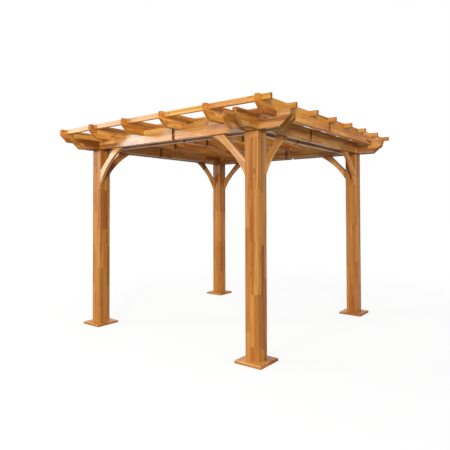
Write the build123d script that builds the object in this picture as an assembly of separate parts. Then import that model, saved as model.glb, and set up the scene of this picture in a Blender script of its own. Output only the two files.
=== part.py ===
"""Wooden garden pergola: four posts on square feet, paired headers crossing at the posts,
six rafters lapped over the headers, eight slats let into the rafters and eight curved braces.
Millimetres, +Z up, origin on the ground below the middle of the whole outline."""

import os
from math import copysign, sqrt

from build123d import *

# Posts, measured between their centres
post_width = 140.0
post_spacing_x = 2230.0
post_spacing_y = 2230.0
clear_height = 2046.0
post_edge_round = 4.0

# Square wooden foot under each post
foot_side = 280.0
foot_thickness = 27.0
foot_bevel = 7.0

# Headers: two boards on each side of the square, let into the posts; they run past the posts
# to the front and to the right only, and one board of each pair stops a step short
header_height = 140.0
header_thickness = 45.0
header_housing = 15.0
header_reach = 345.0
header_step = 60.0

# Rafters, lapped down over the front and back headers
rafter_count = 6
rafter_height = 143.0
rafter_thickness = 45.0
rafter_lap = 50.0
rafter_reach = 299.0
outer_rafter_gap = 139.0

# Slats, let into the tops of the rafters until they are flush
slat_count = 8
slat_height = 50.0
slat_thickness = 32.0
end_slat_inset = 60.0
slat_overhang = 82.0

# Sloping cut under the free ends of headers and rafters
header_nose = 52.0
header_cut_run = 108.0
rafter_nose = 66.0
rafter_cut_run = 84.0

# Slightly broken edges along every board
edge_ease = 3.0

# Long boards are two halves that meet on a loose tongue
joint_gap = 40.0
header_joint_x = 185.0
header_joint_y = -238.0
rafter_joint_y = -182.0
tongue_length = 180.0
tongue_thickness = 25.0
tongue_height_share = 0.6

# Curved braces between posts and headers
brace_thickness = 36.0
brace_outer_leg = 242.0
brace_inner_leg = 392.0
brace_arch_rise = 42.0

# Clearances, and how far a cut runs past the face that it opens
lap_clearance = 0.3
tongue_clearance = 0.2
cut_past = 1.0

# Levels and lines that follow from the sizes above
half_x = post_spacing_x / 2
half_y = post_spacing_y / 2
post_face_x = half_x + post_width / 2
post_face_y = half_y + post_width / 2
header_top = clear_height + header_height
header_offset = post_width / 2 - header_housing + header_thickness / 2
header_face_x = half_x + header_offset + header_thickness / 2
header_face_y = half_y + header_offset + header_thickness / 2
short_reach = header_reach - header_step
rafter_bottom = header_top - rafter_lap
rafter_top = rafter_bottom + rafter_height
rafter_half_length = post_face_y + rafter_reach
outer_rafter_line = header_face_x + outer_rafter_gap + rafter_thickness / 2
outer_slat_line = rafter_half_length - end_slat_inset
slat_half_length = outer_rafter_line + rafter_thickness / 2 + slat_overhang

# All is drawn about the middle of the posts; the whole outline reaches further out to the right
# and to the front, where the headers run past the posts, so its middle lies a little off
outline_middle_x = (post_face_x + header_reach - slat_half_length) / 2
outline_middle_y = (rafter_half_length - post_face_y - header_reach) / 2


# Shapes that every piece is made from

def block(x0, x1, y0, y1, z0, z1):
    """A plain cuboid between two corners."""
    size = (x1 - x0, y1 - y0, z1 - z0)
    middle = ((x0 + x1) / 2, (y0 + y1) / 2, (z0 + z1) / 2)
    return Pos(*middle) * Box(*size)


def eased(board, across):
    """A board with the edges of its two broad faces broken; they lie across the given axis."""
    faces = board.faces().sort_by(across)
    return chamfer(faces[0].edges() + faces[-1].edges(), edge_ease)


def board_along_x(outline, y_middle, thickness):
    """A board that runs along X: the outline is drawn in X and Z."""
    face = make_face(Polyline(*[(x, 0, z) for x, z in outline], close=True))
    board = extrude(face, amount=thickness / 2, dir=(0, 1, 0), both=True)
    return Pos(0, y_middle, 0) * eased(board, Axis.Y)


def board_along_y(outline, x_middle, thickness):
    """A board that runs along Y: the outline is drawn in Y and Z."""
    face = make_face(Polyline(*[(0, y, z) for y, z in outline], close=True))
    board = extrude(face, amount=thickness / 2, dir=(1, 0, 0), both=True)
    return Pos(x_middle, 0, 0) * eased(board, Axis.X)


def rafter_outline():
    """Side outline of a rafter: both ends have a short upright nose over a sloping cut."""
    slope_foot = rafter_half_length - rafter_cut_run
    return [
        (-slope_foot, rafter_bottom),
        (slope_foot, rafter_bottom),
        (rafter_half_length, rafter_top - rafter_nose),
        (rafter_half_length, rafter_top),
        (-rafter_half_length, rafter_top),
        (-rafter_half_length, rafter_top - rafter_nose),
    ]


def header_outline(square_end, free_end):
    """Side outline of a header: square at one end, with a nose and a sloping cut at the other."""
    slope_foot = free_end - copysign(header_cut_run, free_end)
    return [
        (square_end, clear_height),
        (slope_foot, clear_height),
        (free_end, header_top - header_nose),
        (free_end, header_top),
        (square_end, header_top),
    ]


def spread(outer_line, count):
    """Middle lines of like pieces, evenly spread between two outer ones."""
    pitch = 2 * outer_line / (count - 1)
    return [-outer_line + index * pitch for index in range(count)]


def header_lines(half):
    """Middle lines of the four header boards that run one way: two at each side."""
    return [side * half + pair * header_offset for side in (-1, 1) for pair in (-1, 1)]


header_x_lines = header_lines(half_x)
header_y_lines = header_lines(half_y)
rafter_lines = spread(outer_rafter_line, rafter_count)
slat_lines = spread(outer_slat_line, slat_count)


def write(name, *solids):
    """Write one named piece, as one solid or several that stand apart, about the outline's middle."""
    placed = [Pos(-outline_middle_x, -outline_middle_y, 0) * solid for solid in solids]
    piece = placed[0] if len(placed) == 1 else Compound(children=placed)
    export_step(piece, f"parts/{name}.step")


# Posts and feet

def make_post(x, y):
    """A square post whose head is cut in on its four faces to house the header boards."""
    half = post_width / 2
    core = half - header_housing
    shaft = block(-half, half, -half, half, foot_thickness, clear_height)
    shaft = fillet(shaft.edges().filter_by(Axis.Z), post_edge_round)
    head = block(-core, core, -core, core, clear_height, header_top)
    return Pos(x, y, 0) * (shaft + head)


def make_foot(x, y):
    """A flat square foot with its top edges bevelled."""
    half = foot_side / 2
    foot = block(-half, half, -half, half, 0, foot_thickness)
    rim = foot.faces().sort_by(Axis.Z)[-1].edges()
    return Pos(x, y, 0) * chamfer(rim, foot_bevel)


# Headers

def half_lap(x, y, upper):
    """The space that one board leaves for another where two headers cross."""
    reach = header_thickness / 2 + lap_clearance
    middle = clear_height + header_height / 2
    bottom = middle if upper else clear_height - cut_past
    top = header_top + cut_past if upper else middle
    return block(x - reach, x + reach, y - reach, y + reach, bottom, top)


def header_front_to_back(x_line, reach):
    """One header board along Y; it drops over the boards that cross it."""
    outline = header_outline(header_face_y, -post_face_y - reach)
    board = board_along_y(outline, x_line, header_thickness)
    for y_line in header_y_lines:
        board -= half_lap(x_line, y_line, upper=False)
    return board


def header_side_to_side(y_line, reach):
    """One header board along X; it lies under the boards that cross it."""
    outline = header_outline(-header_face_x, post_face_x + reach)
    board = board_along_x(outline, y_line, header_thickness)
    for x_line in header_x_lines:
        board -= half_lap(x_line, y_line, upper=True)
    return board


# Joints in the long boards

def part_board(board, joint, bottom, top):
    """Part a long board at its joint, drawn along X; gives its halves and the tongue."""
    height = (top - bottom) * tongue_height_share
    wide = 2 * header_thickness
    gap = block(-joint_gap / 2, joint_gap / 2, -wide, wide, bottom - wide, top + wide)
    middle = Pos(0, 0, (bottom + top) / 2)
    room = 2 * tongue_clearance
    slot = middle * Box(tongue_length + room, tongue_thickness + room, height + room)
    tongue = middle * Box(tongue_length, tongue_thickness, height)
    halves = board - joint * gap - joint * slot
    return halves.solids(), joint * tongue


# Rafters and slats

def make_rafter(x_line):
    """A rafter notched below over the headers and above for every slat."""
    rafter = board_along_y(rafter_outline(), x_line, rafter_thickness)
    left = x_line - rafter_thickness
    right = x_line + rafter_thickness
    for y_line in header_y_lines:
        reach = header_thickness / 2 + lap_clearance
        rafter -= block(left, right, y_line - reach, y_line + reach,
                        rafter_bottom - cut_past, header_top)
    for y_line in slat_lines:
        reach = slat_thickness / 2 + lap_clearance
        rafter -= block(left, right, y_line - reach, y_line + reach,
                        rafter_top - slat_height, rafter_top + cut_past)
    return rafter


def make_slat(y_line):
    """A plain square-ended slat that runs across all the rafters."""
    reach = slat_half_length
    half = slat_thickness / 2
    slat = block(-reach, reach, -half, half, rafter_top - slat_height, rafter_top)
    return Pos(0, y_line, 0) * eased(slat, Axis.Y)


# Braces

def make_brace():
    """A brace in the corner of a post and a header: straight above, arched below.
    Drawn in X and Z with the corner at the origin, the post to the left."""
    outer = brace_outer_leg
    inner = brace_inner_leg
    arch_middle = inner / 2 - brace_arch_rise / sqrt(2)
    outline = [
        Line((outer, 0, 0), (inner, 0, 0)),
        ThreePointArc((inner, 0, 0), (arch_middle, 0, -arch_middle), (0, 0, -inner)),
        Line((0, 0, -inner), (0, 0, -outer)),
        Line((0, 0, -outer), (outer, 0, 0)),
    ]
    brace = extrude(make_face(outline), amount=brace_thickness, dir=(0, 1, 0))
    return eased(brace, Axis.Y)


def place_brace(side_x, side_y, along_x):
    """Set a brace at one post, its outside flush with the outside of the post."""
    if along_x:
        brace = make_brace()
        corner = (side_x * (half_x - post_width / 2), side_y * post_face_y, clear_height)
    else:
        brace = Rot(0, 0, 90) * mirror(make_brace(), Plane.XZ)
        corner = (side_x * post_face_x, side_y * (half_y - post_width / 2), clear_height)
    if side_x > 0:
        brace = mirror(brace, Plane.YZ)
    if side_y > 0:
        brace = mirror(brace, Plane.XZ)
    return Pos(*corner) * brace


corner_names = {
    "front_left": (-1, -1),
    "front_right": (1, -1),
    "back_left": (-1, 1),
    "back_right": (1, 1),
}
front_back_reach = {
    "front_outer": header_reach,
    "front_inner": short_reach,
    "back_inner": header_reach,
    "back_outer": short_reach,
}
left_right_reach = {
    "left_outer": short_reach,
    "left_inner": header_reach,
    "right_inner": short_reach,
    "right_outer": header_reach,
}


def main():
    os.makedirs("parts", exist_ok=True)

    for name, (side_x, side_y) in corner_names.items():
        write(f"post_{name}", make_post(side_x * half_x, side_y * half_y))
        write(f"foot_{name}", make_foot(side_x * half_x, side_y * half_y))
        write(f"brace_{name}_x", place_brace(side_x, side_y, along_x=True))
        write(f"brace_{name}_y", place_brace(side_x, side_y, along_x=False))

    header_tongues = []
    for (name, reach), line in zip(front_back_reach.items(), header_y_lines):
        board = header_side_to_side(line, reach)
        joint = Pos(header_joint_x, line, 0)
        halves, tongue = part_board(board, joint, clear_height, header_top)
        write(f"header_{name}", *halves)
        header_tongues.append(tongue)
    for (name, reach), line in zip(left_right_reach.items(), header_x_lines):
        board = header_front_to_back(line, reach)
        joint = Pos(line, header_joint_y, 0) * Rot(0, 0, 90)
        halves, tongue = part_board(board, joint, clear_height, header_top)
        write(f"header_{name}", *halves)
        header_tongues.append(tongue)
    write("header_tongues", *header_tongues)

    rafter_tongues = []
    slat_bottom = rafter_top - slat_height
    for index, line in enumerate(rafter_lines, start=1):
        joint = Pos(line, rafter_joint_y, 0) * Rot(0, 0, 90)
        halves, tongue = part_board(make_rafter(line), joint, rafter_bottom, slat_bottom)
        write(f"rafter_{index}", *halves)
        rafter_tongues.append(tongue)
    write("rafter_tongues", *rafter_tongues)

    for index, line in enumerate(slat_lines, start=1):
        write(f"slat_{index}", make_slat(line))


main()
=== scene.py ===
from functools import partial
from math import cos, radians, sin
from types import SimpleNamespace

import bpy
from mathutils import Matrix, Vector


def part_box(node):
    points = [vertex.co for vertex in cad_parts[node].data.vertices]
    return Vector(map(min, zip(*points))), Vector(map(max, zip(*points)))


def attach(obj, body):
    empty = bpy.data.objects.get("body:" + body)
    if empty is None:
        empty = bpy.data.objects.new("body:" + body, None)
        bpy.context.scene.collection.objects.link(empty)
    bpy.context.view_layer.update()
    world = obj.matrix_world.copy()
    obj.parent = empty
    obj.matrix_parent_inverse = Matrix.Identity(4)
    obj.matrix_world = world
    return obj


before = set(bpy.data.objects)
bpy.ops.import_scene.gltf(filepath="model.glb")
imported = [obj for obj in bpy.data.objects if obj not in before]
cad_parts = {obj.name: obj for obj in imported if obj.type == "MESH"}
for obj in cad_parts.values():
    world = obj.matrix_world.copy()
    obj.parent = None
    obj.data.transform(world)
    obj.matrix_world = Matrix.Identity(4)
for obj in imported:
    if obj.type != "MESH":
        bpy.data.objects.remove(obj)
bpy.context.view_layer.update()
print("frame loaded:", len(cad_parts), "nodes")

# The pergola stands on the ground, with the middle of its whole outline over the origin. Metres, +Z up.


# Small helpers for node trees. A value is a number or another node's output.

def addNode(tree, kind, **settings):
    node = tree.nodes.new(kind)
    for key, value in settings.items():
        setattr(node, key, value)
    return node


def join(tree, source, target):
    tree.links.new(source, target)


def feed(tree, socket, value):
    if isinstance(value, (int, float)):
        socket.default_value = value
    elif isinstance(value, tuple):
        socket.default_value = (*value, 1)
    else:
        join(tree, value, socket)


def mathNode(tree, operation, first, second=None, third=None, clamp=False):
    node = addNode(tree, "ShaderNodeMath", operation=operation, use_clamp=clamp)
    for socket, value in zip(node.inputs, (first, second, third)):
        if value is not None:
            feed(tree, socket, value)
    return node.outputs[0]


def distanceOf(tree, first, second):
    squares = [mathNode(tree, "POWER", value, 2.0) for value in (first, second)]
    return mathNode(tree, "SQRT", mathNode(tree, "ADD", *squares))


def vectorOf(tree, x, y, z):
    node = addNode(tree, "ShaderNodeCombineXYZ")
    for socket, value in zip(node.inputs, (x, y, z)):
        feed(tree, socket, value)
    return node.outputs[0]


def vectorSum(tree, first, second):
    node = addNode(tree, "ShaderNodeVectorMath", operation="ADD")
    join(tree, first, node.inputs[0])
    join(tree, second, node.inputs[1])
    return node.outputs[0]


def partsOf(tree, vector):
    node = addNode(tree, "ShaderNodeSeparateXYZ")
    join(tree, vector, node.inputs[0])
    return node.outputs


def mixColour(tree, factor, first, second, blend="MIX"):
    node = addNode(tree, "ShaderNodeMix", data_type="RGBA", blend_type=blend)
    feed(tree, node.inputs["Factor"], factor)
    feed(tree, node.inputs[6], first)
    feed(tree, node.inputs[7], second)
    return node.outputs[2]


def rampNode(tree, value, stops):
    node = addNode(tree, "ShaderNodeValToRGB")
    elements = node.color_ramp.elements
    while len(elements) < len(stops):
        elements.new(0.5)
    for element, (place, colour) in zip(elements, stops):
        element.position = place
        element.color = (*colour, 1)
    join(tree, value, node.inputs[0])
    return node.outputs[0]


def noiseNode(tree, vector, scale, detail=2.0, roughness=0.5):
    node = addNode(tree, "ShaderNodeTexNoise")
    node.inputs["Scale"].default_value = scale
    node.inputs["Detail"].default_value = detail
    node.inputs["Roughness"].default_value = roughness
    join(tree, vector, node.inputs["Vector"])
    return node.outputs["Fac"]


def randomOf(tree, x, y, z):
    # one random number for each place, and three more as a colour
    node = addNode(tree, "ShaderNodeTexWhiteNoise", noise_dimensions="3D")
    join(tree, vectorOf(tree, x, y, z), node.inputs["Vector"])
    colour = addNode(tree, "ShaderNodeSeparateColor")
    join(tree, node.outputs["Color"], colour.inputs[0])
    return node.outputs["Value"], colour.outputs


def groupSocket(group, name, kind, inOut="INPUT", value=None):
    socket = group.interface.new_socket(name, in_out=inOut, socket_type=kind)
    if value is not None:
        socket.default_value = value


# Stained glued wood. Every member is built up of strips, each strip of short lengths joined end to end,
# and each length is cut from its own place in a log, so that its rings run on round its ends.

wood = {
    "tones": {
        "light": (0.90, 0.45, 0.105),
        "mid": (0.62, 0.212, 0.026),
        "deep": (0.22, 0.050, 0.005),
        "knot": (0.15, 0.045, 0.010),
        "halo": (0.50, 0.135, 0.018),
        "glue": (0.22, 0.075, 0.016),
        # the cut ends' dark tone is partly end grain that drinks more stain and partly painted shade
        "end": (0.34, 0.105, 0.016),
    },
    "toneMiddle": 0.56,
    "endStainAndShadeMix": 0.6,
    # paler, yellower and redder lengths: their tone, the random number that they begin at, and how strong
    "oddLengths": [
        ((0.90, 0.50, 0.17), 0.62, 1.1),
        ((0.80, 0.36, 0.030), 0.50, 0.9),
        ((0.50, 0.135, 0.018), 0.60, 1.1),
    ],
    # how much each of these makes a place lighter or darker, besides the bands
    "weights": {"length": 0.45, "ripple": 0.75, "pores": 0.22, "stain": 0.75, "streak": 1.1},
    # fine pores, broad stain and finger-wide streaks, as cycles a metre along and across the grain
    "marks": {
        "poresAlong": 9.0,
        "poresAcross": 330.0,
        "stain": 2.1,
        "streakAlong": 1.3,
        "streakAcross": 85.0,
    },
    # the rings of the log, how far its heart lies from a length, and how the grain wavers and leans
    "grain": {
        "ringGap": 0.0042,
        "ringSharpness": 3.0,
        "ringDepth": 0.28,
        "bandGap": 0.017,
        "bandWeight": 1.9,
        "heartNear": -0.09,
        "heartFar": 0.05,
        "leanMost": 0.035,
        "leanUp": 0.6,
        "waver": 0.0075,
        "waverScale": 14.0,
        "waverStretch": 0.10,
        "rippleScale": 60.0,
    },
    "knots": {
        "spread": 5.2,
        "stretch": 0.45,
        "reach": 0.20,
        "core": 0.075,
        "coreEdge": 0.6,
        "push": 0.016,
        "pushEdge": 2.0,
        "haloMix": 0.35,
        "haloEdge": 3.0,
        "depth": 0.8,
    },
    "blockLength": 0.46,
    "glue": {"width": 0.0009, "mix": 0.6, "buttMix": 0.7},
    "finish": {
        "roughness": 0.50,
        "poreRoughness": 0.22,
        "endRoughness": 0.2,
        "shine": 0.16,
        "dullLoss": 0.6,
        "levelCoat": 0.6,
        "coatRoughness": 0.31,
        "bump": 0.35,
        "bumpDistance": 0.0011,
        "poreHeight": 0.8,
        "ringHeight": -0.5,
    },
    # odd steps that keep one random draw from following another
    "steps": {
        "stripShift": 9.3,
        "stripKey": 7.31,
        "secondDraw": 0.37,
        "grainSeed": 3.1,
        "grainStrip": 0.73,
        "grainLength": 1.9,
        "bandLength": 2.3,
        "knotSeed": 1.37,
        "knotSide": 0.31,
        "knotUp": 0.77,
    },
}


def about(tree, value, weight):
    # a number from 0 to 1 taken to both sides of nothing
    return mathNode(tree, "MULTIPLY", mathNode(tree, "SUBTRACT", value, 0.5), weight)


def spread(tree, value, low, high):
    # a number from 0 to 1 taken to a range of its own
    return mathNode(tree, "MULTIPLY_ADD", value, high - low, low)


def nearness(tree, distance, reach):
    # 1 at no distance, falling to 0 at the reach
    return mathNode(tree, "SUBTRACT", 1.0, mathNode(tree, "DIVIDE", distance, reach), clamp=True)


def stretched(tree, vector, along, across=1.0):
    # a place made longer or shorter along the grain than across it
    node = addNode(tree, "ShaderNodeVectorMath", operation="MULTIPLY")
    join(tree, vector, node.inputs[0])
    node.inputs[1].default_value = (along, across, across)
    return node.outputs[0]


def stripPlace(tree, value, width):
    # which strip a point lies in, and how far it is from the nearer glue line
    place = mathNode(tree, "DIVIDE", value, width)
    index = mathNode(tree, "FLOOR", place)
    inside = mathNode(tree, "SUBTRACT", place, index)
    off = mathNode(tree, "ABSOLUTE", mathNode(tree, "SUBTRACT", inside, 0.5))
    edge = mathNode(tree, "MULTIPLY", mathNode(tree, "SUBTRACT", 0.5, off), width)
    return index, edge


# The next functions use what is known at a point of the wood, kept in at, and most of them add to it.

def cutLengths(group, given, at):
    # which strip and which length the point lies in, their random numbers, and the glue lines round them
    steps = wood["steps"]
    glue = wood["glue"]
    work = partial(mathNode, group)
    at.sideIndex, sideEdge = stripPlace(group, at.side, given["Strip Side"])
    at.upIndex, upEdge = stripPlace(group, at.up, given["Strip Up"])
    stripValue, _ = randomOf(group, at.sideIndex, at.upIndex, at.seed)
    shifted = work("ADD", at.run, work("MULTIPLY", stripValue, steps["stripShift"]))
    at.runIndex, runEdge = stripPlace(group, shifted, given["Block Length"])
    at.strip = work("MULTIPLY_ADD", at.upIndex, steps["stripKey"], at.sideIndex)
    _, at.first = randomOf(group, at.strip, at.runIndex, at.seed)
    _, at.second = randomOf(group, at.strip, at.runIndex, work("ADD", at.seed, steps["secondDraw"]))
    seam = nearness(group, work("MINIMUM", sideEdge, upEdge), glue["width"])
    butt = nearness(group, runEdge, glue["width"])
    at.glue = work("MAXIMUM", seam, work("MULTIPLY", butt, glue["buttMix"]))
    at.shift = vectorOf(
        group,
        work("MULTIPLY", at.seed, steps["grainSeed"]),
        work("MULTIPLY", at.strip, steps["grainStrip"]),
        work("MULTIPLY", at.runIndex, steps["grainLength"]),
    )


def placeKnots(group, given, at):
    # few, and drawn out a little along the grain
    knots = wood["knots"]
    steps = wood["steps"]
    seedStep = mathNode(group, "MULTIPLY", at.seed, steps["knotSeed"])
    shift = vectorOf(group, seedStep, steps["knotSide"], steps["knotUp"])
    cells = addNode(group, "ShaderNodeTexVoronoi", feature="F1")
    cells.inputs["Scale"].default_value = knots["spread"]
    place = vectorSum(group, stretched(group, given["Place"], knots["stretch"]), shift)
    join(group, place, cells.inputs["Vector"])
    at.knotNear = nearness(group, cells.outputs["Distance"], knots["reach"])
    at.knotCore = nearness(group, cells.outputs["Distance"], knots["core"])


def growRings(group, given, at):
    # distance from the heart of the log that this length was cut from
    grain = wood["grain"]
    knots = wood["knots"]
    work = partial(mathNode, group)
    heartSide = work("SUBTRACT", at.side, work("MULTIPLY", at.sideIndex, given["Strip Side"]))
    heartUp = work("SUBTRACT", at.up, work("MULTIPLY", at.upIndex, given["Strip Up"]))
    heartSide = work("ADD", heartSide, spread(group, at.first[0], grain["heartNear"], grain["heartFar"]))
    heartUp = work("ADD", heartUp, spread(group, at.first[1], grain["heartNear"], grain["heartFar"]))
    lean = work("MULTIPLY", at.run, spread(group, at.second[0], -grain["leanMost"], grain["leanMost"]))
    heartSide = work("ADD", heartSide, lean)
    heartUp = work("SUBTRACT", heartUp, work("MULTIPLY", lean, grain["leanUp"]))
    radius = distanceOf(group, heartSide, heartUp)

    # the grain wavers, drawn out along the member, and bends round the knots
    at.drawn = vectorSum(group, stretched(group, given["Place"], grain["waverStretch"]), at.shift)
    waver = noiseNode(group, at.drawn, grain["waverScale"])
    radius = work("ADD", radius, about(group, waver, 2 * grain["waver"]))
    push = work("POWER", at.knotNear, knots["pushEdge"])
    radius = work("ADD", radius, work("MULTIPLY", push, knots["push"]))

    # wide bands and, inside them, single rings with a hard dark side
    bandStep = work("MULTIPLY", at.runIndex, wood["steps"]["bandLength"])
    bandPlace = vectorOf(group, work("DIVIDE", radius, grain["bandGap"]), bandStep, at.strip)
    at.bands = noiseNode(group, bandPlace, 1.0, detail=1.5)
    ring = work("FRACT", work("DIVIDE", radius, grain["ringGap"]))
    at.ring = work("POWER", ring, grain["ringSharpness"])


def stainWood(group, given, at):
    # streaks of darker stain are a finger wide and run on over several lengths
    grain = wood["grain"]
    marks = wood["marks"]
    tones = wood["tones"]
    work = partial(mathNode, group)
    porePlace = stretched(group, given["Place"], marks["poresAlong"], marks["poresAcross"])
    at.pores = noiseNode(group, porePlace, 1.0, roughness=0.6)
    stainPlace = vectorSum(group, given["Place"], at.shift)
    streakPlace = vectorOf(
        group,
        work("MULTIPLY", at.run, marks["streakAlong"]),
        work("MULTIPLY_ADD", at.side, marks["streakAcross"], at.seed),
        work("MULTIPLY", at.up, marks["streakAcross"]),
    )
    signals = {
        "length": at.first[2],
        "ripple": noiseNode(group, at.drawn, grain["rippleScale"], roughness=0.55),
        "pores": at.pores,
        "stain": noiseNode(group, stainPlace, marks["stain"]),
        "streak": noiseNode(group, streakPlace, 1.0, roughness=0.6),
    }
    tone = work("MULTIPLY_ADD", work("SUBTRACT", at.bands, 0.5), grain["bandWeight"], wood["toneMiddle"])
    for name, value in signals.items():
        tone = work("ADD", tone, about(group, value, wood["weights"][name]))
    tone = work("SUBTRACT", tone, work("MULTIPLY", at.ring, grain["ringDepth"]), clamp=True)
    return rampNode(group, tone, [(0.0, tones["deep"]), (0.5, tones["mid"]), (1.0, tones["light"])])


def colourWood(group, given, at, colour):
    # odd lengths, knots with a red halo, cut ends darkened partly because they drink more stain and
    # partly as painted shade, and glue lines
    knots = wood["knots"]
    tones = wood["tones"]
    work = partial(mathNode, group)
    for draw, (tone, start, strength) in zip(at.second, wood["oddLengths"]):
        share = work("MULTIPLY", work("SUBTRACT", draw, start, clamp=True), strength)
        colour = mixColour(group, share, colour, tone)
    halo = work("MULTIPLY", work("POWER", at.knotNear, knots["haloEdge"]), knots["haloMix"])
    colour = mixColour(group, halo, colour, tones["halo"])
    colour = mixColour(group, work("POWER", at.knotCore, knots["coreEdge"]), colour, tones["knot"])
    # cut ends and sloping undercuts: partly end grain drinking more stain, partly painted shade
    colour = mixColour(group, work("MULTIPLY", given["End Grain"], wood["endStainAndShadeMix"]), colour, tones["end"])
    colour = mixColour(group, work("MULTIPLY", at.glue, wood["glue"]["mix"]), colour, tones["glue"])
    return mixColour(group, 1.0, colour, given["Tint"], "MULTIPLY")


def surfaceOf(group, given, at):
    # roughness, and the small relief of pores, rings, glue lines and knots
    finish = wood["finish"]
    work = partial(mathNode, group)
    relief = work("MULTIPLY", at.ring, finish["ringHeight"])
    relief = work("MULTIPLY_ADD", at.pores, finish["poreHeight"], relief)
    relief = work("SUBTRACT", relief, at.glue)
    relief = work("SUBTRACT", relief, work("MULTIPLY", at.knotCore, wood["knots"]["depth"]))
    bump = addNode(group, "ShaderNodeBump")
    bump.inputs["Strength"].default_value = finish["bump"]
    bump.inputs["Distance"].default_value = finish["bumpDistance"]
    join(group, relief, bump.inputs["Height"])
    smoothest = finish["roughness"] - finish["poreRoughness"] / 2
    rough = work("MULTIPLY_ADD", at.pores, finish["poreRoughness"], smoothest)
    rough = work("ADD", rough, work("MULTIPLY", given["End Grain"], finish["endRoughness"]))
    return rough, bump.outputs[0]


def makeWoodGroup():
    group = bpy.data.node_groups.new("glued_wood", "ShaderNodeTree")
    groupSocket(group, "Place", "NodeSocketVector")
    groupSocket(group, "Seed", "NodeSocketFloat", value=1.0)
    groupSocket(group, "Strip Side", "NodeSocketFloat", value=0.05)
    groupSocket(group, "Strip Up", "NodeSocketFloat", value=0.05)
    groupSocket(group, "Block Length", "NodeSocketFloat", value=0.5)
    groupSocket(group, "End Grain", "NodeSocketFloat", value=0.0)
    groupSocket(group, "Tint", "NodeSocketColor", value=(1, 1, 1, 1))
    groupSocket(group, "Colour", "NodeSocketColor", "OUTPUT")
    groupSocket(group, "Roughness", "NodeSocketFloat", "OUTPUT")
    groupSocket(group, "Normal", "NodeSocketVector", "OUTPUT")
    given = addNode(group, "NodeGroupInput").outputs
    run, side, up = partsOf(group, given["Place"])
    at = SimpleNamespace(run=run, side=side, up=up, seed=given["Seed"])
    cutLengths(group, given, at)
    placeKnots(group, given, at)
    growRings(group, given, at)
    colour = colourWood(group, given, at, stainWood(group, given, at))
    rough, normal = surfaceOf(group, given, at)
    leave = addNode(group, "NodeGroupOutput")
    join(group, colour, leave.inputs["Colour"])
    join(group, rough, leave.inputs["Roughness"])
    join(group, normal, leave.inputs["Normal"])
    return group


woodGroup = makeWoodGroup()


# How each kind of member is cut: the axis that its grain follows, how wide its strips are across and up,
# how much polish its upright faces have, and its tint. A width over the member's own means one strip.

oneStrip = 0.2

members = {
    "post": {"along": "Z", "strips": (0.0467, 0.0467), "coat": 0.10, "tint": (1.0, 1.0, 1.0)},
    "foot": {"along": "X", "strips": (0.14, oneStrip), "coat": 0.10, "tint": (0.95, 1.0, 1.5)},
    "header_x": {"along": "X", "strips": (oneStrip, 0.0467), "coat": 0.95, "tint": (0.77, 0.85, 1.05)},
    "header_y": {"along": "Y", "strips": (oneStrip, 0.0467), "coat": 0.10, "tint": (0.77, 0.85, 1.05)},
    "rafter": {"along": "Y", "strips": (oneStrip, 0.0477), "coat": 0.10, "tint": (1.0, 1.0, 1.0)},
    "slat": {"along": "X", "strips": (oneStrip, oneStrip), "coat": 0.4, "tint": (0.80, 0.88, 1.0)},
    "brace_x": {"along": "X", "strips": (oneStrip, 0.062), "coat": 0.7, "tint": (0.88, 0.98, 1.5)},
    "brace_y": {"along": "Y", "strips": (oneStrip, 0.062), "coat": 0.10, "tint": (0.88, 0.98, 1.5)},
    # the tongues' dark tint is painted shade, for the dark seen in the gaps of the joints
    "tongue": {"along": "X", "strips": (oneStrip, oneStrip), "coat": 0.0, "tint": (0.42, 0.34, 0.28)},
}

# the run, side and up of each direction of the grain
axisOrder = {"X": (0, 1, 2), "Y": (1, 0, 2), "Z": (2, 0, 1)}

# how steep a face is, as the part of its normal that points up or along the grain
faces = {"level": 0.96, "sloping": 0.35, "cutEnd": 0.5, "top": 0.9}

# the grain of a brace runs from its lower corner to its upper one
braceSlant = 45.0

# flush heads of the screws through the slats, drawn in their material
slatHeads = {"radius": 0.0050, "tone": (0.11, 0.055, 0.028)}

# which lot of timber the members in full view are cut from
lots = {
    "post_front_right": 400,
    "post_front_left": 400,
    "post_back_right": 600,
    "post_back_left": 500,
    "header_front_outer": 500,
    "slat_1": 100,
    "rafter_3": 500,
    "rafter_4": 400,
    "rafter_5": 500,
    "rafter_6": 200,
    "brace_front_right_x": 200,
    "brace_front_left_x": 200,
}
firstSeed = 2


def middleOf(node, axis):
    low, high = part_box(node)
    return (low[axis] + high[axis]) / 2


def stripCorner(node, settings):
    # strips are counted from the low corner; a member of one strip has it centred
    low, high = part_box(node)
    widths = dict(zip(axisOrder[settings["along"]][1:], settings["strips"]))
    corner = []
    for axis in range(3):
        width = widths.get(axis)
        several = width is None or high[axis] - low[axis] > width
        corner.append(low[axis] if several else (low[axis] + high[axis] - width) / 2)
    return corner


def placeInGrain(tree, vector, corner, order, slant):
    parts = partsOf(tree, vector)
    place = vectorOf(tree, *[mathNode(tree, "SUBTRACT", parts[axis], corner[axis]) for axis in order])
    if not slant:
        return place
    rotate = addNode(tree, "ShaderNodeVectorRotate", rotation_type="Y_AXIS")
    join(tree, place, rotate.inputs["Vector"])
    rotate.inputs["Angle"].default_value = radians(slant)
    return rotate.outputs[0]


def drawHeads(tree, vector, upward, colour, lines):
    # one head over every rafter, in the middle of the upper face
    x, y, _ = partsOf(tree, vector)
    step = mathNode(tree, "DIVIDE", mathNode(tree, "SUBTRACT", x, lines["first"]), lines["gap"])
    off = mathNode(tree, "SUBTRACT", step, mathNode(tree, "ROUND", step))
    away = mathNode(tree, "MULTIPLY", off, lines["gap"])
    across = mathNode(tree, "SUBTRACT", y, lines["middle"])
    near = mathNode(tree, "LESS_THAN", distanceOf(tree, away, across), slatHeads["radius"])
    inside = mathNode(tree, "MULTIPLY", near, mathNode(tree, "GREATER_THAN", upward, faces["top"]))
    return mixColour(tree, inside, colour, slatHeads["tone"])


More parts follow.
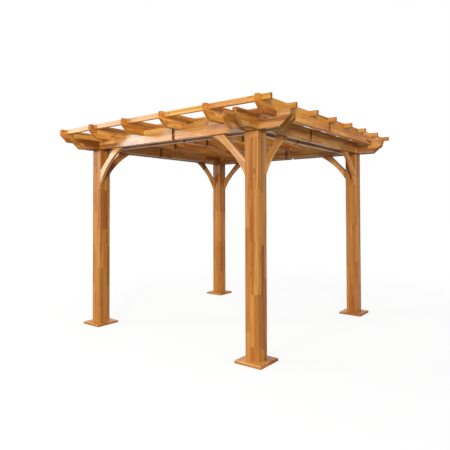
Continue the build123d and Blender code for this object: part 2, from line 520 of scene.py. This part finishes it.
def polishFaces(tree, use, normal, runAxis, coat, slant):
    # level faces are the smoothest, and sloping cuts and cut ends have no polish
    finish = wood["finish"]
    slope = mathNode(tree, "ABSOLUTE", normal[2])
    level = mathNode(tree, "GREATER_THAN", slope, faces["level"])
    dull = mathNode(tree, "SUBTRACT", mathNode(tree, "GREATER_THAN", slope, faces["sloping"]), level)
    if not slant:
        endOn = mathNode(tree, "ABSOLUTE", normal[runAxis])
        cut = mathNode(tree, "GREATER_THAN", endOn, faces["cutEnd"])
        join(tree, cut, use.inputs["End Grain"])
        dull = mathNode(tree, "MAXIMUM", dull, cut)
    polish = mathNode(tree, "MULTIPLY_ADD", level, finish["levelCoat"] - coat, coat)
    polish = mathNode(tree, "MULTIPLY", polish, mathNode(tree, "SUBTRACT", 1.0, dull))
    shine = mathNode(tree, "MULTIPLY_ADD", dull, -finish["dullLoss"] * finish["shine"], finish["shine"])
    return polish, shine


def dress(node, kind, seed, slant=0.0, headLines=None):
    settings = members[kind]
    order = axisOrder[settings["along"]]
    material = bpy.data.materials.new(f"wood_{node}")
    material.use_nodes = True
    tree = material.node_tree
    tree.nodes.clear()
    objectPlace = addNode(tree, "ShaderNodeTexCoord").outputs["Object"]
    use = addNode(tree, "ShaderNodeGroup")
    use.node_tree = woodGroup
    place = placeInGrain(tree, objectPlace, stripCorner(node, settings), order, slant)
    join(tree, place, use.inputs["Place"])
    use.inputs["Seed"].default_value = seed
    use.inputs["Strip Side"].default_value, use.inputs["Strip Up"].default_value = settings["strips"]
    use.inputs["Block Length"].default_value = wood["blockLength"]
    use.inputs["Tint"].default_value = (*settings["tint"], 1)

    normal = partsOf(tree, addNode(tree, "ShaderNodeNewGeometry").outputs["True Normal"])
    polish, shine = polishFaces(tree, use, normal, order[0], settings["coat"], slant)
    colour = use.outputs["Colour"]
    if headLines:
        colour = drawHeads(tree, objectPlace, normal[2], colour, headLines)
    shader = addNode(tree, "ShaderNodeBsdfPrincipled")
    join(tree, colour, shader.inputs["Base Color"])
    join(tree, use.outputs["Roughness"], shader.inputs["Roughness"])
    join(tree, use.outputs["Normal"], shader.inputs["Normal"])
    join(tree, polish, shader.inputs["Coat Weight"])
    join(tree, shine, shader.inputs["Specular IOR Level"])
    shader.inputs["Coat Roughness"].default_value = wood["finish"]["coatRoughness"]
    output = addNode(tree, "ShaderNodeOutputMaterial")
    join(tree, shader.outputs[0], output.inputs["Surface"])

    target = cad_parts[node]
    target.data.materials.clear()
    target.data.materials.append(material)


def dressAll():
    firstLine = middleOf("rafter_1", 0)
    rafterGap = middleOf("rafter_2", 0) - firstLine
    for index, node in enumerate(sorted(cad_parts)):
        seed = firstSeed + index + lots.get(node, 0)
        family = node.split("_")[0]
        if node.endswith("_tongues"):
            dress(node, "tongue", seed)
        elif family == "header":
            dress(node, "header_x" if node.split("_")[1] in ("front", "back") else "header_y", seed)
        elif family == "brace":
            across = node.endswith("_x")
            rising = "left" in node if across else "front" in node
            dress(node, "brace_x" if across else "brace_y", seed, braceSlant if rising else -braceSlant)
        elif family == "slat":
            lines = {"first": firstLine, "gap": rafterGap, "middle": middleOf(node, 1)}
            dress(node, "slat", seed, headLines=lines)
        else:
            dress(node, family, seed)


dressAll()
print("wood finished on every member")


# Screws through the headers into the posts, two in each board at each post, made by Geometry Nodes

screws = {
    "headTone": (0.11, 0.055, 0.028),
    "headRoughness": 0.45,
    # the slot's near-black tone is painted shade, standing in for the dark inside a recessed cross slot
    "slotShadeTone": (0.015, 0.010, 0.008),
    "slotRoughness": 0.8,
    "metal": 0.4,
    "headRadius": 0.0050,
    "headHeight": 0.0014,
    "headSides": 20,
    "slotLength": 1.1,
    "slotWidth": 0.24,
    "slotHeight": 1.06,
    "rise": 0.030,
    "reach": 0.024,
    "turnMost": 3.14,
    "turnSeed": 7,
}

# each side's name, the axis across its boards, and which way along it is outward
headerSides = (("front", 1, -1), ("back", 1, 1), ("left", 0, -1), ("right", 0, 1))


def plainMetal(name, tone, roughness):
    material = bpy.data.materials.new(name)
    material.use_nodes = True
    shader = material.node_tree.nodes["Principled BSDF"]
    shader.inputs["Base Color"].default_value = (*tone, 1)
    shader.inputs["Metallic"].default_value = screws["metal"]
    shader.inputs["Roughness"].default_value = roughness
    return material


def screwPlaces():
    # the outer boards are screwed from outside and the inner ones from inside
    places, facings = [], []
    for side, across, outward in headerSides:
        along = 1 - across
        if across == 1:
            posts = [f"post_{side}_left", f"post_{side}_right"]
        else:
            posts = [f"post_front_{side}", f"post_back_{side}"]
        for board, turn in (("outer", outward), ("inner", -outward)):
            node = f"header_{side}_{board}"
            low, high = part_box(node)
            for post in posts:
                for sign in (-1, 1):
                    place = [0.0, 0.0, middleOf(node, 2) + sign * screws["rise"]]
                    place[across] = high[across] if turn > 0 else low[across]
                    place[along] = middleOf(post, along) + sign * screws["reach"]
                    facing = [0.0, 0.0, 0.0]
                    facing[across] = float(turn)
                    places.append(place)
                    facings.append(facing)
    return places, facings


def crossHead(tree, given):
    # a flat round head with two bars for its cross slot, which are marked for a near-black material of
    # their own that paints the shade of a recessed slot
    head = addNode(tree, "GeometryNodeMeshCylinder")
    head.inputs["Vertices"].default_value = screws["headSides"]
    join(tree, given["Head Radius"], head.inputs["Radius"])
    join(tree, given["Head Height"], head.inputs["Depth"])
    length = mathNode(tree, "MULTIPLY", given["Head Radius"], screws["slotLength"])
    width = mathNode(tree, "MULTIPLY", given["Head Radius"], screws["slotWidth"])
    height = mathNode(tree, "MULTIPLY", given["Head Height"], screws["slotHeight"])
    bars = addNode(tree, "GeometryNodeJoinGeometry")
    for size in ((length, width, height), (width, length, height)):
        bar = addNode(tree, "GeometryNodeMeshCube")
        join(tree, vectorOf(tree, *size), bar.inputs["Size"])
        join(tree, bar.outputs["Mesh"], bars.inputs[0])
    marked = addNode(tree, "GeometryNodeCaptureAttribute", domain="FACE")
    marked.capture_items.new("BOOLEAN", "Slot")
    join(tree, bars.outputs[0], marked.inputs["Geometry"])
    marked.inputs["Slot"].default_value = True
    screw = addNode(tree, "GeometryNodeJoinGeometry")
    join(tree, marked.outputs["Geometry"], screw.inputs[0])
    join(tree, head.outputs["Mesh"], screw.inputs[0])
    return screw.outputs[0], marked.outputs["Slot"]


def chanceTurn(tree, given):
    # each one faces out of its board and is turned about its own axis by chance
    facing = addNode(tree, "GeometryNodeInputNamedAttribute", data_type="FLOAT_VECTOR")
    facing.inputs["Name"].default_value = "facing"
    aligned = addNode(tree, "FunctionNodeAlignRotationToVector", axis="Z")
    join(tree, facing.outputs["Attribute"], aligned.inputs["Vector"])
    turn = addNode(tree, "FunctionNodeRandomValue", data_type="FLOAT")
    turn.inputs[2].default_value = 0.0
    turn.inputs[3].default_value = screws["turnMost"]
    join(tree, given["Turn Seed"], turn.inputs["Seed"])
    spun = addNode(tree, "FunctionNodeRotateRotation", rotation_space="LOCAL")
    join(tree, aligned.outputs[0], spun.inputs["Rotation"])
    join(tree, vectorOf(tree, 0.0, 0.0, turn.outputs[1]), spun.inputs["Rotate By"])
    return spun.outputs[0]


def makeScrewTree():
    tree = bpy.data.node_groups.new("screw_heads", "GeometryNodeTree")
    tree.is_modifier = True
    groupSocket(tree, "Geometry", "NodeSocketGeometry")
    groupSocket(tree, "Head Radius", "NodeSocketFloat", value=0.005)
    groupSocket(tree, "Head Height", "NodeSocketFloat", value=0.001)
    groupSocket(tree, "Turn Seed", "NodeSocketInt", value=1)
    groupSocket(tree, "Head Material", "NodeSocketMaterial")
    groupSocket(tree, "Slot Shade Material", "NodeSocketMaterial")
    groupSocket(tree, "Geometry", "NodeSocketGeometry", "OUTPUT")
    given = addNode(tree, "NodeGroupInput").outputs

    screw, slot = crossHead(tree, given)
    placed = addNode(tree, "GeometryNodeInstanceOnPoints")
    join(tree, given["Geometry"], placed.inputs["Points"])
    join(tree, screw, placed.inputs["Instance"])
    join(tree, chanceTurn(tree, given), placed.inputs["Rotation"])
    real = addNode(tree, "GeometryNodeRealizeInstances")
    join(tree, placed.outputs[0], real.inputs[0])
    headDone = addNode(tree, "GeometryNodeSetMaterial")
    join(tree, real.outputs[0], headDone.inputs["Geometry"])
    join(tree, given["Head Material"], headDone.inputs["Material"])
    slotDone = addNode(tree, "GeometryNodeSetMaterial")
    join(tree, headDone.outputs[0], slotDone.inputs["Geometry"])
    join(tree, slot, slotDone.inputs["Selection"])
    join(tree, given["Slot Shade Material"], slotDone.inputs["Material"])
    leave = addNode(tree, "NodeGroupOutput")
    join(tree, slotDone.outputs[0], leave.inputs[0])
    return tree


def makeScrews():
    places, facings = screwPlaces()
    mesh = bpy.data.meshes.new("screw_places")
    mesh.from_pydata(places, [], [])
    attribute = mesh.attributes.new("facing", "FLOAT_VECTOR", "POINT")
    attribute.data.foreach_set("vector", [value for facing in facings for value in facing])
    piece = bpy.data.objects.new("header_screws", mesh)
    bpy.context.scene.collection.objects.link(piece)
    modifier = piece.modifiers.new("screw_heads", "NODES")
    modifier.node_group = makeScrewTree()
    wanted = {
        "Head Radius": screws["headRadius"],
        "Head Height": screws["headHeight"],
        "Turn Seed": screws["turnSeed"],
        "Head Material": plainMetal("screw_head", screws["headTone"], screws["headRoughness"]),
        "Slot Shade Material": plainMetal("screw_slot_shade", screws["slotShadeTone"], screws["slotRoughness"]),
    }
    for item in modifier.node_group.interface.items_tree:
        if item.in_out == "INPUT" and item.name in wanted:
            modifier[item.identifier] = wanted[item.name]
    piece.update_tag()
    bpy.context.view_layer.update()
    done = bpy.data.meshes.new_from_object(piece.evaluated_get(bpy.context.evaluated_depsgraph_get()))
    piece.modifiers.clear()
    piece.data = done
    done.name = "header_screws"
    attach(piece, "root")
    print("screws:", len(places), "heads,", len(done.polygons), "faces")


makeScrews()


# Floor, backdrop and light

studio = {
    "floorSize": 60.0,
    "floorGrey": 0.22,
    "floorGlow": 0.815,
    "farGlow": 0.90,
    "farFrom": 2.5,
    "farTo": 8.0,
    "worldStrength": 0.62,
    "mainFrom": (0.55, -0.83, 0.10),
    "mainStrength": 2.35,
    "mainAngle": 12.0,
    "boxes": {
        # one grazes the front from the left and shows as a sheen on it, one is in front of the near post
        "side_light": {
            "place": (-7.2, -6.3, 3.3),
            "aim": (-0.4, -1.0, 2.0),
            "size": (1.4, 1.6),
            "power": 235.0,
        },
        "front_light": {
            "place": (0.9, -5.2, 1.9),
            "aim": (1.07, -1.1, 1.5),
            "size": (1.0, 1.4),
            "power": 48.0,
        },
    },
}


def seenDirectly(tree):
    # 1 for what the camera sees straight, in a reflection or through glass, and 0 for light on the object
    path = addNode(tree, "ShaderNodeLightPath").outputs
    seen = mathNode(tree, "MAXIMUM", path["Is Camera Ray"], path["Is Glossy Ray"])
    return mathNode(tree, "MAXIMUM", seen, path["Is Transmission Ray"])


def makeFloor():
    mesh = bpy.data.meshes.new("studio_floor")
    half = studio["floorSize"] / 2
    corners = [(-half, -half, 0), (half, -half, 0), (half, half, 0), (-half, half, 0)]
    mesh.from_pydata(corners, [], [(0, 1, 2, 3)])
    floor = bpy.data.objects.new("studio_floor", mesh)
    bpy.context.scene.collection.objects.link(floor)
    material = bpy.data.materials.new("studio_white")
    material.use_nodes = True
    tree = material.node_tree
    tree.nodes.clear()
    diffuse = addNode(tree, "ShaderNodeBsdfDiffuse")
    diffuse.inputs["Color"].default_value = (*[studio["floorGrey"]] * 3, 1)

    # what the camera sees is white, less the faint shadow that falls on it,
    # and further out it brightens a little, so that no horizon shows
    reach = addNode(tree, "ShaderNodeVectorMath", operation="LENGTH")
    join(tree, addNode(tree, "ShaderNodeTexCoord").outputs["Object"], reach.inputs[0])
    fade = addNode(tree, "ShaderNodeMapRange", interpolation_type="SMOOTHSTEP")
    join(tree, reach.outputs["Value"], fade.inputs["Value"])
    fade.inputs["From Min"].default_value = studio["farFrom"]
    fade.inputs["From Max"].default_value = studio["farTo"]
    fade.inputs["To Min"].default_value = studio["floorGlow"]
    fade.inputs["To Max"].default_value = studio["farGlow"]
    glow = addNode(tree, "ShaderNodeEmission")
    strength = mathNode(tree, "MULTIPLY", seenDirectly(tree), fade.outputs["Result"])
    join(tree, strength, glow.inputs["Strength"])
    both = addNode(tree, "ShaderNodeAddShader")
    join(tree, diffuse.outputs[0], both.inputs[0])
    join(tree, glow.outputs[0], both.inputs[1])
    output = addNode(tree, "ShaderNodeOutputMaterial")
    join(tree, both.outputs[0], output.inputs["Surface"])
    mesh.materials.append(material)


def makeBackdrop():
    world = bpy.data.worlds.new("studio_world")
    bpy.context.scene.world = world
    world.use_nodes = True
    tree = world.node_tree
    tree.nodes.clear()
    dim = studio["worldStrength"]
    background = addNode(tree, "ShaderNodeBackground")
    background.inputs["Color"].default_value = (1, 1, 1, 1)
    strength = mathNode(tree, "MULTIPLY_ADD", seenDirectly(tree), 1 - dim, dim)
    join(tree, strength, background.inputs["Strength"])
    output = addNode(tree, "ShaderNodeOutputWorld")
    join(tree, background.outputs[0], output.inputs["Surface"])


def makeLights():
    # the main light comes from the front right, low and soft
    light = bpy.data.lights.new("main_light", "SUN")
    light.energy = studio["mainStrength"]
    light.angle = radians(studio["mainAngle"])
    lamp = bpy.data.objects.new("main_light", light)
    lamp.rotation_euler = Vector(studio["mainFrom"]).to_track_quat("Z", "Y").to_euler()
    bpy.context.scene.collection.objects.link(lamp)

    for name, box in studio["boxes"].items():
        light = bpy.data.lights.new(name, "AREA")
        light.shape = "RECTANGLE"
        light.size, light.size_y = box["size"]
        light.energy = box["power"]
        lamp = bpy.data.objects.new(name, light)
        lamp.location = box["place"]
        beam = Vector(box["aim"]) - Vector(box["place"])
        lamp.rotation_euler = beam.to_track_quat("-Z", "Y").to_euler()
        bpy.context.scene.collection.objects.link(lamp)


# The camera, at the photo's place, angle and focal length

camera = {
    "place": (3.3215, -4.3567, 1.3806),
    "azimuth": 36.87,
    "pitch": 1.17,
    "roll": -0.17,
    "focalPixels": 442.83,
    "imageSide": 450,
    "centreX": 236.25,
    "centreY": 197.10,
    "filmWidth": 36.0,
    "clipEnd": 200,
}


def makeCamera():
    data = bpy.data.cameras.new("photo_camera")
    data.sensor_fit = "HORIZONTAL"
    data.sensor_width = camera["filmWidth"]
    data.lens = camera["focalPixels"] / camera["imageSide"] * camera["filmWidth"]
    half = camera["imageSide"] / 2
    data.shift_x = (half - camera["centreX"]) / camera["imageSide"]
    data.shift_y = (camera["centreY"] - half) / camera["imageSide"]
    data.clip_end = camera["clipEnd"]
    turn = radians(camera["azimuth"])
    rise = radians(camera["pitch"])
    forward = Vector((-sin(turn) * cos(rise), cos(turn) * cos(rise), sin(rise)))
    facing = forward.to_track_quat("-Z", "Y").to_matrix().to_4x4()
    facing = facing @ Matrix.Rotation(radians(camera["roll"]), 4, "Z")
    lens = bpy.data.objects.new("photo_camera", data)
    lens.matrix_world = Matrix.Translation(Vector(camera["place"])) @ facing
    bpy.context.scene.collection.objects.link(lens)
    bpy.context.scene.camera = lens


makeFloor()
makeBackdrop()
makeLights()
makeCamera()
bpy.context.scene.view_settings.view_transform = "Standard"
print("studio and camera set")
